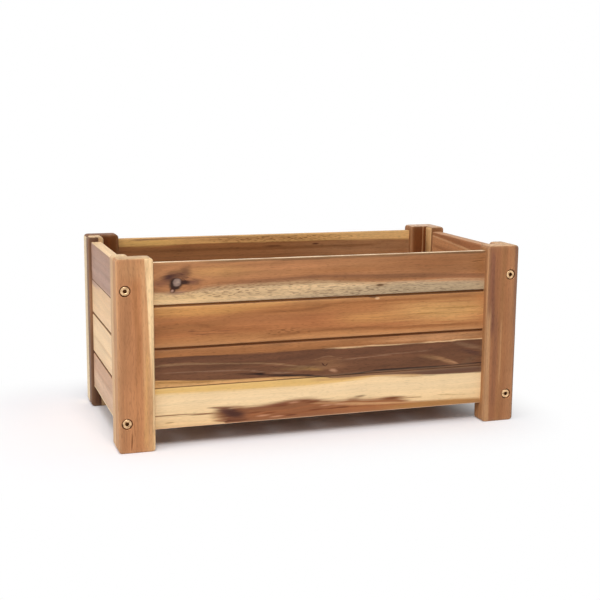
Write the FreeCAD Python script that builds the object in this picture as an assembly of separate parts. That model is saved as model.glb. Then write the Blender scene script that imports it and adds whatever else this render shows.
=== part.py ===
import FreeCAD, Part
import os
from math import cos, pi, sin, sqrt
from FreeCAD import Vector

# A crate planter in solid acacia. Two long panels carry a wide leg at each end, and two short panels carry
# a narrow stile at each end. Bolts through the legs pull the stiles tight and make the four corners. Each
# panel is four tongue-and-groove boards, held by stub tenons in grooves of the legs or stiles. A slatted
# floor drops in from above and lies on two cleats.
# Units are millimetres. +Z is up, X runs along the length, the front faces -Y, and the origin is on the
# ground at the middle of the footprint.

# The whole planter
length = 450.0
depth = 230.0
height = 201.0

# Legs, the wide uprights of the front and rear panels
leg_width = 38.0
leg_thickness = 21.0

# Stiles, the narrow uprights of the end panels, which stand behind the legs
stile_width = 18.0
stile_depth = 16.5

# Rounding that legs and stiles share
post_corner_radius = 4.0
post_edge_radius = 1.6

# Panels of boards
long_panel_thickness = 8.0
end_panel_thickness = 12.0
panel_drop = 6.0
long_panel_rise = 21.0
end_panel_rise = 24.0
long_panel_recess = 7.0
end_panel_recess = 3.5
rim_radius = 1.0
long_board_height_shares = (0.2569, 0.2520, 0.2343, 0.2568)
end_board_height_shares = (0.2550, 0.2315, 0.2665, 0.2470)

# Seams between the boards of a panel, from the top down: open ones have rounded edges and a shadow gap
open_seam_gap = 2.0
open_seam_radius = 1.5
tight_seam_gap = 0.3
tight_seam_radius = 0.4
OPEN_SEAM = (open_seam_gap, open_seam_radius)
TIGHT_SEAM = (tight_seam_gap, tight_seam_radius)
long_seams = (OPEN_SEAM, OPEN_SEAM, TIGHT_SEAM)
end_seams = (TIGHT_SEAM, OPEN_SEAM, OPEN_SEAM)

# Tongue and groove that the seams hide
tongue_thickness = 3.0
tongue_height = 4.5

# Stub tenons on the board ends
tenon_thickness = 5.0
long_tenon_length = 7.0
end_tenon_length = 5.0
tenon_shoulder = 8.0

# Play that every wood joint has beside its tongue or tenon, and under it
joint_play = 0.15
groove_relief = 0.5

# Corner bolts, M6 with a cylinder head and a hexagon socket
bolt_radius = 3.0
bolt_hole_play = 0.3
bolt_head_radius = 5.0
bolt_head_height = 4.0
bolt_head_bevel = 0.5
bolt_head_depth = 1.2
counterbore_play = 0.7
socket_flats = 4.0
socket_depth = 2.6
bolt_tip_bevel = 0.8
bolt_drop = 33.0
bolt_rise = 31.0

# Threaded inserts in the stiles
insert_radius = 4.5
insert_thread_depth = 0.6
insert_thread_count = 4
insert_flange_height = 1.0
insert_cover = 1.5
insert_play = 0.1
thread_play = 0.1
bolt_tip_gap = 0.8

# Cleats that carry the floor
cleat_width = 15.0
cleat_height = 15.0
cleat_lift = 1.0
cleat_end_gap = 1.0
cleat_edge_radius = 1.0
cleat_screw_count = 4
cleat_screw_margin = 40.0

# Floor of slats on two battens
slat_count = 8
slat_gap = 6.0
slat_thickness = 9.0
slat_edge_radius = 1.5
floor_play = 1.5
batten_width = 20.0
batten_thickness = 10.0
batten_edge_radius = 1.0
batten_offset = 48.0
batten_end_inset = 8.0

# Countersunk wood screws
screw_radius = 1.75
screw_head_radius = 3.5
screw_head_rim = 0.4
screw_tip_length = 4.0
screw_cover = 3.0
screw_sink = 0.2
screw_play = 0.1
cross_width = 0.9
cross_length = 3.6
cross_depth = 1.2

# Every cut runs this far past the face it opens
overrun = 1.0

# Places that follow from the sizes above
leg_inner_x = length / 2 - leg_width
leg_inner_y = depth / 2 - leg_thickness
stile_inner_x = length / 2 - stile_width
stile_inner_y = leg_inner_y - stile_depth
panel_top = height - panel_drop
long_panel_y = depth / 2 - long_panel_recess - long_panel_thickness / 2
end_panel_x = length / 2 - end_panel_recess - end_panel_thickness / 2
bolt_x = length / 2 - stile_width / 2
bolt_levels = (height - bolt_drop, bolt_rise)
counterbore_depth = bolt_head_depth + bolt_head_height
insert_length = stile_depth - end_tenon_length - groove_relief - insert_cover
bolt_shank_length = leg_thickness - counterbore_depth + insert_length - bolt_tip_gap
cleat_bottom = long_panel_rise + cleat_lift
floor_bottom = cleat_bottom + cleat_height
cleat_outer_y = long_panel_y - long_panel_thickness / 2
cleat_inner_y = cleat_outer_y - cleat_width
floor_half_x = stile_inner_x - floor_play
floor_half_y = leg_inner_y - floor_play

X_AXIS = Vector(1, 0, 0)
Y_AXIS = Vector(0, 1, 0)
Z_AXIS = Vector(0, 0, 1)
ORIGIN = Vector(0, 0, 0)
TINY = 1e-6
QUARTER_TURN = 90
FULL_TURN = 360
HEXAGON = 6


def block(x_range, y_range, z_range):
    """A box between two limits on each axis, given in either order."""
    lows = [min(limits) for limits in (x_range, y_range, z_range)]
    sizes = [abs(limits[1] - limits[0]) for limits in (x_range, y_range, z_range)]
    return Part.makeBox(*sizes, Vector(*lows))


def around(middle, width):
    """The two limits of a width about its middle."""
    return (middle - width / 2, middle + width / 2)


def edges_along(shape, axis):
    """The straight edges of a box-like shape that run along one axis."""
    found = []
    for edge in shape.Edges:
        if isinstance(edge.Curve, Part.Line) and abs(edge.Curve.Direction.dot(axis)) > 1 - TINY:
            found.append(edge)
    return found


def turned(points, place, axis):
    """A solid of revolution. Points are (radius, distance along axis) of its outline, in order."""
    outline = [Vector(radius, 0, along) for radius, along in points]
    face = Part.Face(Part.makePolygon(outline + outline[:1]))
    solid = face.revolve(ORIGIN, Z_AXIS, FULL_TURN)
    solid.Placement = FreeCAD.Placement(place, FreeCAD.Rotation(Z_AXIS, axis))
    return solid


def mirrored(shape, in_x, in_y):
    """The shape on the other side of the planter, in X, in Y or in both."""
    if in_x:
        shape = shape.mirror(ORIGIN, X_AXIS)
    if in_y:
        shape = shape.mirror(ORIGIN, Y_AXIS)
    return shape


def post(x_range, y_range):
    """A full-height upright with its broad-face corners rounded and every remaining edge eased."""
    shape = block(x_range, y_range, (0, height))
    shape = shape.makeFillet(post_corner_radius, edges_along(shape, Y_AXIS))
    rims = [edge for edge in shape.Edges if edge.BoundBox.YLength < TINY]
    return shape.makeFillet(post_edge_radius, rims)


def tenon_levels(panel_rise):
    """The height range of the groove that takes a panel's tenons."""
    return (panel_rise + tenon_shoulder - groove_relief, panel_top - tenon_shoulder + groove_relief)


def front_left_leg():
    """The leg at -X and -Y, with the groove for the front boards and the bolt holes."""
    leg = post((-length / 2, -leg_inner_x), (-depth / 2, -leg_inner_y))
    groove_floor = -leg_inner_x - long_tenon_length - groove_relief
    groove_width = tenon_thickness + 2 * joint_play
    groove_sides = around(-long_panel_y, groove_width)
    levels = tenon_levels(long_panel_rise)
    leg = leg.cut(block((groove_floor, -leg_inner_x + overrun), groove_sides, levels))
    for level in bolt_levels:
        mouth = Vector(-bolt_x, -depth / 2 - overrun, level)
        hole = Part.makeCylinder(bolt_radius + bolt_hole_play, leg_thickness + 2 * overrun, mouth, Y_AXIS)
        pocket_radius = bolt_head_radius + counterbore_play
        pocket = Part.makeCylinder(pocket_radius, counterbore_depth + overrun, mouth, Y_AXIS)
        leg = leg.cut(hole).cut(pocket)
    return leg


def front_left_stile():
    """The stile behind the front left leg, with the groove for the end boards and the insert holes."""
    stile = post((-length / 2, -stile_inner_x), (-leg_inner_y, -stile_inner_y))
    groove_floor = -stile_inner_y - end_tenon_length - groove_relief
    groove_width = tenon_thickness + 2 * joint_play
    groove_sides = around(-end_panel_x, groove_width)
    levels = tenon_levels(end_panel_rise)
    stile = stile.cut(block(groove_sides, (groove_floor, -stile_inner_y + overrun), levels))
    for level in bolt_levels:
        mouth = Vector(-bolt_x, -leg_inner_y - overrun, level)
        hole_depth = insert_length + insert_play + overrun
        stile = stile.cut(Part.makeCylinder(insert_radius + insert_play, hole_depth, mouth, Y_AXIS))
    return stile


def board(span, tall, thickness, tenon_length, seam_above, seam_below):
    """One panel board along X, with its middle over the origin and its lower edge at Z 0.

    Seam_above and seam_below give the gap and edge radius there, or None at the panel's rim.
    """
    shape = block(around(0, span), around(0, thickness), (0, tall))
    upper_radius = seam_above[1] if seam_above else rim_radius
    lower_radius = seam_below[1] if seam_below else rim_radius
    for radius, is_upper in ((upper_radius, True), (lower_radius, False)):
        long_edges = edges_along(shape, X_AXIS)
        edges = [edge for edge in long_edges if (edge.BoundBox.ZMin > TINY) == is_upper]
        shape = shape.makeFillet(radius, edges)
    tenon_low = 0 if seam_below else tenon_shoulder
    tenon_high = tall if seam_above else tall - tenon_shoulder
    tenons = block(around(0, span + 2 * tenon_length), around(0, tenon_thickness), (tenon_low, tenon_high))
    shape = shape.fuse(tenons)
    if seam_above:
        tongue_top = tall + seam_above[0] + tongue_height
        shape = shape.fuse(block(around(0, span), around(0, tongue_thickness), (tall / 2, tongue_top)))
    if seam_below:
        slot_width = tongue_thickness + 2 * joint_play
        slot_top = tongue_height + groove_relief
        shape = shape.cut(block(around(0, span), around(0, slot_width), (-overrun, slot_top)))
    return shape.removeSplitter()


def panel_boards(span, panel_rise, thickness, tenon_length, height_shares, seams):
    """The boards of one panel, from the top down, at their heights and still centred over the origin."""
    free_height = panel_top - panel_rise - sum(gap for gap, radius in seams)
    level = panel_top
    boards = []
    for share, seam_above, seam_below in zip(height_shares, (None,) + seams, seams + (None,)):
        tall = free_height * share / sum(height_shares)
        level -= tall
        shape = board(span, tall, thickness, tenon_length, seam_above, seam_below)
        shape.translate(Vector(0, 0, level))
        boards.append(shape)
        if seam_below:
            level -= seam_below[0]
    return boards


def corner_bolt(level):
    """One bolt of the front left corner: head sunk in the leg, shank through it into the insert."""
    seat = counterbore_depth
    tip = seat + bolt_shank_length
    outline = [
        (0, bolt_head_depth),
        (bolt_head_radius - bolt_head_bevel, bolt_head_depth),
        (bolt_head_radius, bolt_head_depth + bolt_head_bevel),
        (bolt_head_radius, seat),
        (bolt_radius, seat),
        (bolt_radius, tip - bolt_tip_bevel),
        (bolt_radius - bolt_tip_bevel, tip),
        (0, tip),
    ]
    mouth = Vector(-bolt_x, -depth / 2, level)
    bolt = turned(outline, mouth, Y_AXIS)
    corner_reach = socket_flats / sqrt(3)
    corners = []
    for number in range(HEXAGON + 1):
        angle = 2 * pi * number / HEXAGON
        corners.append(mouth + Vector(corner_reach * cos(angle), 0, corner_reach * sin(angle)))
    socket = Part.Face(Part.makePolygon(corners)).extrude(Y_AXIS * (bolt_head_depth + socket_depth))
    return bolt.cut(socket)


def insert_nut(level):
    """One threaded insert of the front left corner, pressed into the stile from the leg's side."""
    bore = bolt_radius + thread_play
    root = insert_radius - insert_thread_depth
    pitch = (insert_length - insert_flange_height) / insert_thread_count
    outline = [(bore, 0), (insert_radius, 0), (insert_radius, insert_flange_height)]
    for number in range(insert_thread_count):
        start = insert_flange_height + pitch * number
        outline += [(root, start), (insert_radius, start + pitch / 2), (root, start + pitch)]
    outline.append((bore, insert_length))
    return turned(outline, Vector(-bolt_x, -leg_inner_y, level), Y_AXIS)


def screw_outline(screw_length, play):
    """Half section of a countersunk screw from its flush face down, or of its hole when there is play."""
    head = screw_head_radius + play
    shank = screw_radius + play
    rim = screw_sink + screw_head_rim
    cone_end = rim + screw_head_radius - screw_radius
    low_end = screw_length + play
    top = -overrun if play else screw_sink
    return [
        (0, top),
        (head, top),
        (head, rim),
        (shank, cone_end + play),
        (shank, low_end - screw_tip_length),
        (0, low_end),
    ]


def wood_screw(place, axis, screw_length):
    """A countersunk screw whose head lies at a place and whose tip points along an axis."""
    screw = turned(screw_outline(screw_length, 0), place, axis)
    turn = FreeCAD.Rotation(Z_AXIS, axis)
    for width, reach in ((cross_width, cross_length), (cross_length, cross_width)):
        bar = block(around(0, width), around(0, reach), (0, screw_sink + cross_depth))
        bar.Placement = FreeCAD.Placement(place, turn)
        screw = screw.cut(bar)
    return screw


def screw_hole(place, axis, screw_length):
    """The cutter for a screw's countersunk pilot hole."""
    return turned(screw_outline(screw_length, screw_play), place, axis)


def spread(count, reach):
    """Evenly spaced places from -reach to +reach."""
    return [-reach + 2 * reach * number / (count - 1) for number in range(count)]


def cleat_screw_places():
    """Where the front cleat's screws go in, on its inner face."""
    reach = leg_inner_x - cleat_end_gap - cleat_screw_margin
    level = cleat_bottom + cleat_height / 2
    return [Vector(x, -cleat_inner_y, level) for x in spread(cleat_screw_count, reach)]


cleat_screw_length = cleat_width + long_panel_thickness - screw_cover
slat_screw_length = slat_thickness + batten_thickness - screw_cover
slat_pitch = (2 * floor_half_x + slat_gap) / slat_count
slat_width = slat_pitch - slat_gap
slat_middles = spread(slat_count, floor_half_x - slat_width / 2)


def front_cleat():
    """The cleat along the inside of the front panel's lowest board."""
    half = leg_inner_x - cleat_end_gap
    levels = (cleat_bottom, cleat_bottom + cleat_height)
    cleat = block((-half, half), (-cleat_outer_y, -cleat_inner_y), levels)
    cleat = cleat.makeFillet(cleat_edge_radius, edges_along(cleat, X_AXIS))
    for place in cleat_screw_places():
        cleat = cleat.cut(screw_hole(place, -Y_AXIS, cleat_screw_length))
    return cleat


def slat_screw_places(middle):
    """Where one slat's two screws go in, on its upper face."""
    top = floor_bottom + slat_thickness
    return [Vector(middle, side * batten_offset, top) for side in (-1, 1)]


def floor_slat(middle):
    """One floor slat across the planter, drilled for its screws."""
    levels = (floor_bottom, floor_bottom + slat_thickness)
    slat = block(around(middle, slat_width), (-floor_half_y, floor_half_y), levels)
    slat = slat.makeFillet(slat_edge_radius, edges_along(slat, Y_AXIS))
    for place in slat_screw_places(middle):
        slat = slat.cut(screw_hole(place, -Z_AXIS, slat_screw_length))
    return slat


def front_batten():
    """The batten under the slats on the front side, which ties them into one floor."""
    half = floor_half_x - batten_end_inset
    levels = (floor_bottom - batten_thickness, floor_bottom)
    batten = block((-half, half), around(-batten_offset, batten_width), levels)
    batten = batten.makeFillet(batten_edge_radius, edges_along(batten, X_AXIS))
    for middle in slat_middles:
        batten = batten.cut(screw_hole(slat_screw_places(middle)[0], -Z_AXIS, slat_screw_length))
    return batten


def save(name, solids):
    """Write one node, made of one solid or of a list of like solids."""
    shape = Part.makeCompound(solids) if isinstance(solids, list) else solids
    shape.exportStep(os.path.join("parts", name + ".step"))


os.makedirs("parts", exist_ok=True)
SIDES_X = (("left", False), ("right", True))
SIDES_Y = (("front", False), ("rear", True))

# Uprights and the hardware of the four corners
leg = front_left_leg()
stile = front_left_stile()
bolts = [corner_bolt(level) for level in bolt_levels]
inserts = [insert_nut(level) for level in bolt_levels]
all_bolts = []
all_inserts = []
for x_name, in_x in SIDES_X:
    for y_name, in_y in SIDES_Y:
        save(f"{y_name}_{x_name}_leg", mirrored(leg, in_x, in_y))
        save(f"{x_name}_{y_name}_stile", mirrored(stile, in_x, in_y))
        all_bolts += [mirrored(bolt, in_x, in_y) for bolt in bolts]
        all_inserts += [mirrored(insert, in_x, in_y) for insert in inserts]
save("corner_bolts", all_bolts)
save("insert_nuts", all_inserts)

# Boards of the four panels, numbered from the top down
long_boards = panel_boards(
    2 * leg_inner_x, long_panel_rise, long_panel_thickness, long_tenon_length, long_board_height_shares, long_seams)
end_boards = panel_boards(
    2 * stile_inner_y, end_panel_rise, end_panel_thickness, end_tenon_length, end_board_height_shares, end_seams)
for number, shape in enumerate(long_boards):
    shape.translate(Vector(0, -long_panel_y, 0))
    if number == len(long_boards) - 1:
        for place in cleat_screw_places():
            shape = shape.cut(screw_hole(place, -Y_AXIS, cleat_screw_length))
    for y_name, in_y in SIDES_Y:
        save(f"{y_name}_board_{number + 1}", mirrored(shape, False, in_y))
for number, shape in enumerate(end_boards):
    shape.rotate(ORIGIN, Z_AXIS, QUARTER_TURN)
    shape.translate(Vector(-end_panel_x, 0, 0))
    for x_name, in_x in SIDES_X:
        save(f"{x_name}_board_{number + 1}", mirrored(shape, in_x, False))

# Cleats with their screws
cleat = front_cleat()
cleat_screws = [wood_screw(place, -Y_AXIS, cleat_screw_length) for place in cleat_screw_places()]
for y_name, in_y in SIDES_Y:
    save(f"{y_name}_cleat", mirrored(cleat, False, in_y))
save("cleat_screws", cleat_screws + [mirrored(screw, False, True) for screw in cleat_screws])

# The drop-in floor
slat_screws = []
for number, middle in enumerate(slat_middles):
    save(f"floor_slat_{number + 1}", floor_slat(middle))
    slat_screws += [wood_screw(place, -Z_AXIS, slat_screw_length) for place in slat_screw_places(middle)]
batten = front_batten()
for y_name, in_y in SIDES_Y:
    save(f"floor_{y_name}_batten", mirrored(batten, False, in_y))
save("slat_screws", slat_screws)
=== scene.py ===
from functools import partial

import bpy
import numpy as np
from mathutils import Matrix, Vector


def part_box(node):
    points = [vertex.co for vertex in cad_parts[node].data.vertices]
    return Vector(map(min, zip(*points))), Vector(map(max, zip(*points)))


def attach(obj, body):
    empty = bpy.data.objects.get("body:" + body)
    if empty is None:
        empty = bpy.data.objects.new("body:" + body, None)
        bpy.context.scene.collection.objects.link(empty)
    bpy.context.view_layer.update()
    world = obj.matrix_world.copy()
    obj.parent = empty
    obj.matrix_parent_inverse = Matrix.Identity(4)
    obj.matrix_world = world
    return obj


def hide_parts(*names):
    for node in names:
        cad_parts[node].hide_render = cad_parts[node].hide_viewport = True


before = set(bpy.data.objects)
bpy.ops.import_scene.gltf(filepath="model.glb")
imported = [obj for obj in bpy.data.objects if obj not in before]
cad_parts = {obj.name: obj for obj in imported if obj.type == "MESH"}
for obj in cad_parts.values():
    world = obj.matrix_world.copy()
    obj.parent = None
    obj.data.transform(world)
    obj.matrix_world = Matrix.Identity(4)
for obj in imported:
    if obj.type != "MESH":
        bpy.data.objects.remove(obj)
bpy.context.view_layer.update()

# Legs: four full-height uprights of planed and sanded acacia, one at each end of the two long panels. Their
# corners are rounded on a sander, the long edges are eased, and two pockets are bored in each for bolt
# heads. The sizes of all pieces are in mm.
X, Y, Z = 0, 1, 2
MM = 0.001
LEG_AXES, LEG_EDGE, LEG_ENDS, LEG_PITH = (Z, X, Y), 1.6, (4.0, 1.6), (60, 40)
BOLT_HEAD, POCKET_RADIUS, POCKET_DEPTH, MOUTH_BEVEL = 5.0, 5.7, 5.2, 0.4
BORE_OVERRUN, BORE_STEPS = 1, 40
GRID, EDGE_STEPS, END_STEPS = 3.0, 6, 8
PLANING, PLANING_WAVES, PLANING_SLANT = 0.12, (170, 75, 32), 40
GRAIN_WANDER, GRAIN_SWING, RING_GAP = (150, 42, 42), 9, 3.4
PULL_FROM, PULL_TO, KNOT_PULL = 0.5, 3.5, 0.8
FRAY, BAND_FRAY, SPOT_FRAY = (20, 4.2, 0), 0.05, (0.5, 1.1)
SPOT_FADE, LINE_FULL, ANY_DEPTH = 3, 0.8, 1e6
HALF, NOISE_SPAN, DOT_SPAN = (0.5, 0.5, 0.5), (0.3, 0.7), (0.54, 0.66)
SATIN, PORE_SINK = (0.48, 0.64), 0.6
WORN_EDGE, EDGE_FADE = "#efd2a8", 1.2
SHARP = np.radians(38)


def box_mm(node):
    """The lowest and highest corner of a CAD node, in mm."""
    low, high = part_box(node)
    return np.array(low) / MM, np.array(high) / MM


def linear(code):
    """An sRGB hex colour as linear RGBA, by the sRGB curve."""
    srgb = np.array([int(code[at:at + 2], 16) for at in (1, 3, 5)]) / 255
    rgb = np.where(srgb <= 0.04045, srgb / 12.92, ((srgb + 0.055) / 1.055) ** 2.4)
    return (*rgb.tolist(), 1.0)


def empty_tree(block):
    """The node tree of a new material or world, emptied."""
    block.use_nodes = True
    block.node_tree.nodes.clear()
    return block.node_tree


def put(tree, kind, sockets=(), out=0, **settings):
    """Add one node and return one of its outputs, by name or number.

    A second word in kind is the operation of a maths node. Settings are other properties. Sockets hold a
    value or a link each, in their order or in a dict by name or number.
    """
    kind, *operation = kind.split()
    node = tree.nodes.new("ShaderNode" + kind)
    if operation:
        node.operation = operation[0]
    for key, value in settings.items():
        setattr(node, key, value)
    for key, value in sockets.items() if isinstance(sockets, dict) else enumerate(sockets):
        if isinstance(value, bpy.types.NodeSocket):
            tree.links.new(value, node.inputs[key])
        else:
            node.inputs[key].default_value = value
    return node.outputs[out] if node.outputs else None


def drawn_line(add, along, points):
    """The height in mm, at each place along the grain, of a smooth line through given points."""
    run, rise = np.array(points, float).T
    base, tall = rise.min(), max(np.ptp(rise), 1.0)
    curve = add("FloatCurve", {"Value": add("MapRange", (along, run[0], run[-1]))})
    mapping = curve.node.mapping
    knees = mapping.curves[0].points
    places = np.column_stack([(run - run[0]) / np.ptp(run), (rise - base) / tall]).tolist()
    knees[0].location, knees[1].location = places[0], places[-1]
    for place in places[1:-1]:
        knees.new(*place)
    mapping.update()
    return add("Math MULTIPLY_ADD", (curve, tall, base))


def acacia(name, axes, low, high, bands, marks=(), knots=(), pith=(48, 30), lean=0.02, contrast=1.0,
           bare_edge=0.06):
    """Acacia, planed, sanded and oiled: satin, with bold colour bands, fine dark pores and paler worn edges.

    It is drawn in mm along the grain, across the face and through the board, in the order that axes gives.
    Bands are colours across the face. Marks lie over them in order. ("above" or "below", points, softness,
    colour, strength) colours one side of a drawn line, or of a plain level where a number stands for the
    points. ("line", points, half height, softness, colour, strength) follows a drawn line, and ("spot" or
    "fleck", (along, across, half length, half height, degrees of lean), softness, colour, strength) is an
    oval, whole or broken up by pores. Knots are (along, across, radius), which the grain runs round.
    """
    material = bpy.data.materials.new(name)
    add = partial(put, empty_tree(material))
    parts = add("SeparateXYZ", (add("TexCoord", out="Object"),)).node.outputs
    grain = add("CombineXYZ", [parts[axis] for axis in axes])
    grain = add("VectorMath SCALE", {0: grain, "Scale": 1 / MM})

    # The grain wanders by a few mm over a hand's length, and parts round each knot
    slow = add("VectorMath MULTIPLY", (grain, [1 / part for part in GRAIN_WANDER]))
    drift = add("TexNoise", {"Vector": slow, "Scale": 1.0, "Detail": 1.5}, out="Color")
    drift = add("VectorMath SUBTRACT", (drift, HALF))
    lines = add("VectorMath MULTIPLY_ADD", (drift, (0, GRAIN_SWING, GRAIN_SWING), grain))
    for along, across, radius in knots:
        away = add("VectorMath SUBTRACT", (grain, (along, across, 0)))
        spread = add("VectorMath MULTIPLY", (away, (1 / (2 * radius), 1 / radius, 0)))
        reach = add("VectorMath LENGTH", (spread,), out="Value")
        pull = add("MapRange", (reach, PULL_FROM, PULL_TO, KNOT_PULL, 0.0), interpolation_type="SMOOTHERSTEP")
        back = add("VectorMath MULTIPLY", (away, (0, -1, 0)))
        back = add("VectorMath SCALE", {0: back, "Scale": pull})
        lines = add("VectorMath ADD", (lines, back))

    # Noises stretched along the grain, each by its size in mm: colour streaks, fibres, pores and curl. The
    # pores are 0.2 mm wide in the wood and are drawn three times as coarse to show
    noise = {}
    for kind, size, detail in (("streak", (260, 5.5, 5.5), 2.0), ("fibre", (75, 1.3, 1.3), 3.0),
                               ("pore", (5.5, 0.55, 0.55), 0.0), ("curl", (34, 26, 26), 1.0)):
        scaled = add("VectorMath MULTIPLY", (lines, [1 / part for part in size]))
        noise[kind] = add("TexNoise", {"Vector": scaled, "Scale": 1.0, "Detail": detail})

    # Colour bands across the face
    foot = low[axes[1]]
    tall = high[axes[1]] - foot
    share = add("VectorMath DOT_PRODUCT", (lines, (0, 1 / tall, 0)), out="Value")
    share = add("Math MULTIPLY_ADD", (noise["fibre"], BAND_FRAY, share))
    share = add("Math ADD", (share, -foot / tall - BAND_FRAY / 2))
    colour = add("ValToRGB", (share,))
    stops = colour.node.color_ramp.elements
    for number, (at, shade) in enumerate(bands):
        stop = stops[number] if number < 2 else stops.new(at)
        stop.position = at
        stop.color = linear(shade)

    # Marks of other colours, frayed along the fibres
    fray = add("VectorMath SUBTRACT", (noise["fibre"].node.outputs["Color"], HALF))
    frayed = add("VectorMath MULTIPLY_ADD", (fray, FRAY, grain))
    frayed = add("SeparateXYZ", (frayed,)).node.outputs
    straight = add("SeparateXYZ", (grain,), out=1)
    dots = add("MapRange", (noise["pore"], *DOT_SPAN))
    for kind, where, *size, soft, shade, strength in marks:
        if kind in ("spot", "fleck"):
            along, across, half_long, half_high, turn = where
            ragged = (SPOT_FRAY[0] * half_long, SPOT_FRAY[1] * half_high, 0)
            local = add("VectorMath MULTIPLY_ADD", (fray, ragged, grain))
            local = add("Mapping", (local, (along, across, 0), (0, 0, np.radians(turn)),
                                    (half_long, half_high, ANY_DEPTH)), vector_type="TEXTURE")
            far = add("VectorMath LENGTH", (local,), out="Value")
            limits = (1 - soft, 1 + soft / SPOT_FADE)
        else:
            plain = isinstance(where, float)
            level = where if plain else drawn_line(add, frayed[0], where)
            far = add("Math SUBTRACT", (straight if plain else frayed[1], level))
            limits = (soft, -soft) if kind == "above" else (-soft, soft)
        if kind == "line":
            far = add("Math ABSOLUTE", (far,))
            limits = (size[0] - soft / 2, size[0] + soft / 2)
        cover = add("MapRange", (far, *limits, strength, 0.0), interpolation_type="SMOOTHSTEP")
        if kind == "line":
            centre, half_run = (where[0][0] + where[-1][0]) / 2, (where[-1][0] - where[0][0]) / 2
            run_out = add("Math SUBTRACT", (frayed[0], centre))
            run_out = add("Math ABSOLUTE", (run_out,))
            run_out = add("MapRange", (run_out, LINE_FULL * half_run, half_run, 1.0, 0.0))
            cover = add("Math MULTIPLY", (cover, run_out))
        if kind == "fleck":
            cover = add("Math MULTIPLY", (cover, dots))
        colour = add("Mix", {0: cover, 6: colour, 7: linear(shade)}, out=2, data_type="RGBA")

    # Growth rings about the pith, then streaks, fibres, curl and pores, all as light and dark
    rings = add("Mapping", (lines, (0, -pith[0] - foot, -pith[1]), (0, lean, lean)), vector_type="POINT")
    rings = add("VectorMath MULTIPLY", (rings, (0, 1, 1)))
    rings = add("VectorMath LENGTH", (rings,), out="Value")
    rings = add("TexNoise", {"W": rings, "Scale": 1 / RING_GAP, "Detail": 2.0}, noise_dimensions="1D")
    tone = 1.0
    for value, span, low_tone, high_tone in (
            (rings, NOISE_SPAN, -0.09, 0.06), (noise["streak"], NOISE_SPAN, -0.13, 0.1),
            (noise["fibre"], NOISE_SPAN, -0.08, 0.06), (noise["curl"], (0.35, 0.65), -0.04, 0.04),
            (noise["pore"], (0.58, 0.7), 0.0, -0.2)):
        part = add("MapRange", (value, *span, 1 + low_tone * contrast, 1 + high_tone * contrast))
        tone = add("Math MULTIPLY", (tone, part))
    colour = add("VectorMath SCALE", {0: colour, "Scale": tone})

    # Sanding leaves the edges paler
    edge = add("Attribute", out="Fac", attribute_name="edge")
    edge = add("Math MULTIPLY", (edge, noise["streak"]))
    edge = add("Math MULTIPLY", (edge, 2 * bare_edge))
    colour = add("Mix", {0: edge, 6: colour, 7: linear(WORN_EDGE)}, out=2, data_type="RGBA")

    gloss = add("MapRange", (noise["fibre"], *NOISE_SPAN, *SATIN))
    relief = add("Math MULTIPLY_ADD", (noise["pore"], -PORE_SINK, noise["fibre"]))
    bump = add("Bump", {"Strength": 0.35, "Distance": 0.15 * MM, "Height": relief})
    shader = add("BsdfPrincipled", {"Base Color": colour, "Roughness": gloss, "IOR": 1.5, "Normal": bump,
                                    "Specular IOR Level": 0.2})
    add("OutputMaterial", (shader,))
    return material


def eased_bar(size, long_radius, end_radii):
    """Rings of a bar: a rounded rectangle carried along the grain and drawn in at both ends.

    Size is length, width and thickness in mm. A ring that lies g past the start of an end's rounding R is
    drawn in by R - sqrt(R*R - g*g), with one R for the width and one for the thickness.
    """
    half, half_width, half_thick = np.array(size) / 2
    reach = max(end_radii)
    lead = reach * (1 - np.cos(np.linspace(0, np.pi / 2, END_STEPS)))
    middle = np.linspace(-half + reach, half - reach, round((2 * half - 2 * reach) / GRID) + 1)
    along = np.concatenate([-half + lead, middle[1:-1], half - lead[::-1]])
    margin = half - np.abs(along)[:, None]
    draw_in = [R - np.sqrt(R * R - np.maximum(R - margin, 0) ** 2) for R in end_radii]
    corners = np.array([(1, 1), (-1, 1), (-1, -1), (1, -1), (1, 1)])
    counts = (round(2 * half_width / GRID), round(2 * half_thick / GRID)) * 2
    turn = np.linspace(0, np.pi / 2, EDGE_STEPS)
    ring = []
    for number, count in enumerate(counts):
        ring.append(np.column_stack([np.tile(corners[number], (len(turn), 1)), turn + number * np.pi / 2]))
        share = np.linspace(0, 1, count + 1)[1:-1, None]
        side = corners[number] * (1 - share) + corners[number + 1] * share
        ring.append(np.column_stack([side, np.full(len(side), (number + 1) * np.pi / 2)]))
    sign_b, sign_c, angle = np.vstack(ring).T
    across = sign_b * (half_width - draw_in[0] - long_radius) + long_radius * np.cos(angle)
    through = sign_c * (half_thick - draw_in[1] - long_radius) + long_radius * np.sin(angle)
    return along, across, through


def planed(rings, half_sizes, seed):
    """Take up to PLANING mm off the faces, more here and less there, as a planer and a sander do.

    The depth is a sum of three sines of place with seeded directions, scaled to run from 0 to PLANING.
    """
    along, across, through = rings
    draw = np.random.default_rng(seed)
    waves = np.zeros_like(across)
    for length in PLANING_WAVES:
        slant = draw.uniform(-1, 1, 2) / PLANING_SLANT
        waves += np.sin(2 * np.pi * (along[:, None] / length + slant[0] * across + slant[1] * through
                                     + draw.uniform()))
    depth = PLANING * (0.5 + waves / (2 * len(PLANING_WAVES)))
    return along, across * (1 - depth / half_sizes[0]), through * (1 - depth / half_sizes[1])


def tube_faces(count, points, outward):
    """Faces over count rings of points, turned round where outward is below 0.

    Quads join each ring to the next, and one face closes each end.
    """
    number = np.arange(count * points).reshape(count, points)
    after = np.roll(number, -1, axis=1)
    quads = np.stack([number[:-1], after[:-1], after[1:], number[1:]], axis=-1).reshape(-1, 4)
    faces = quads.tolist() + [number[0, ::-1].tolist(), number[-1].tolist()]
    return faces if outward > 0 else [face[::-1] for face in faces]


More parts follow.
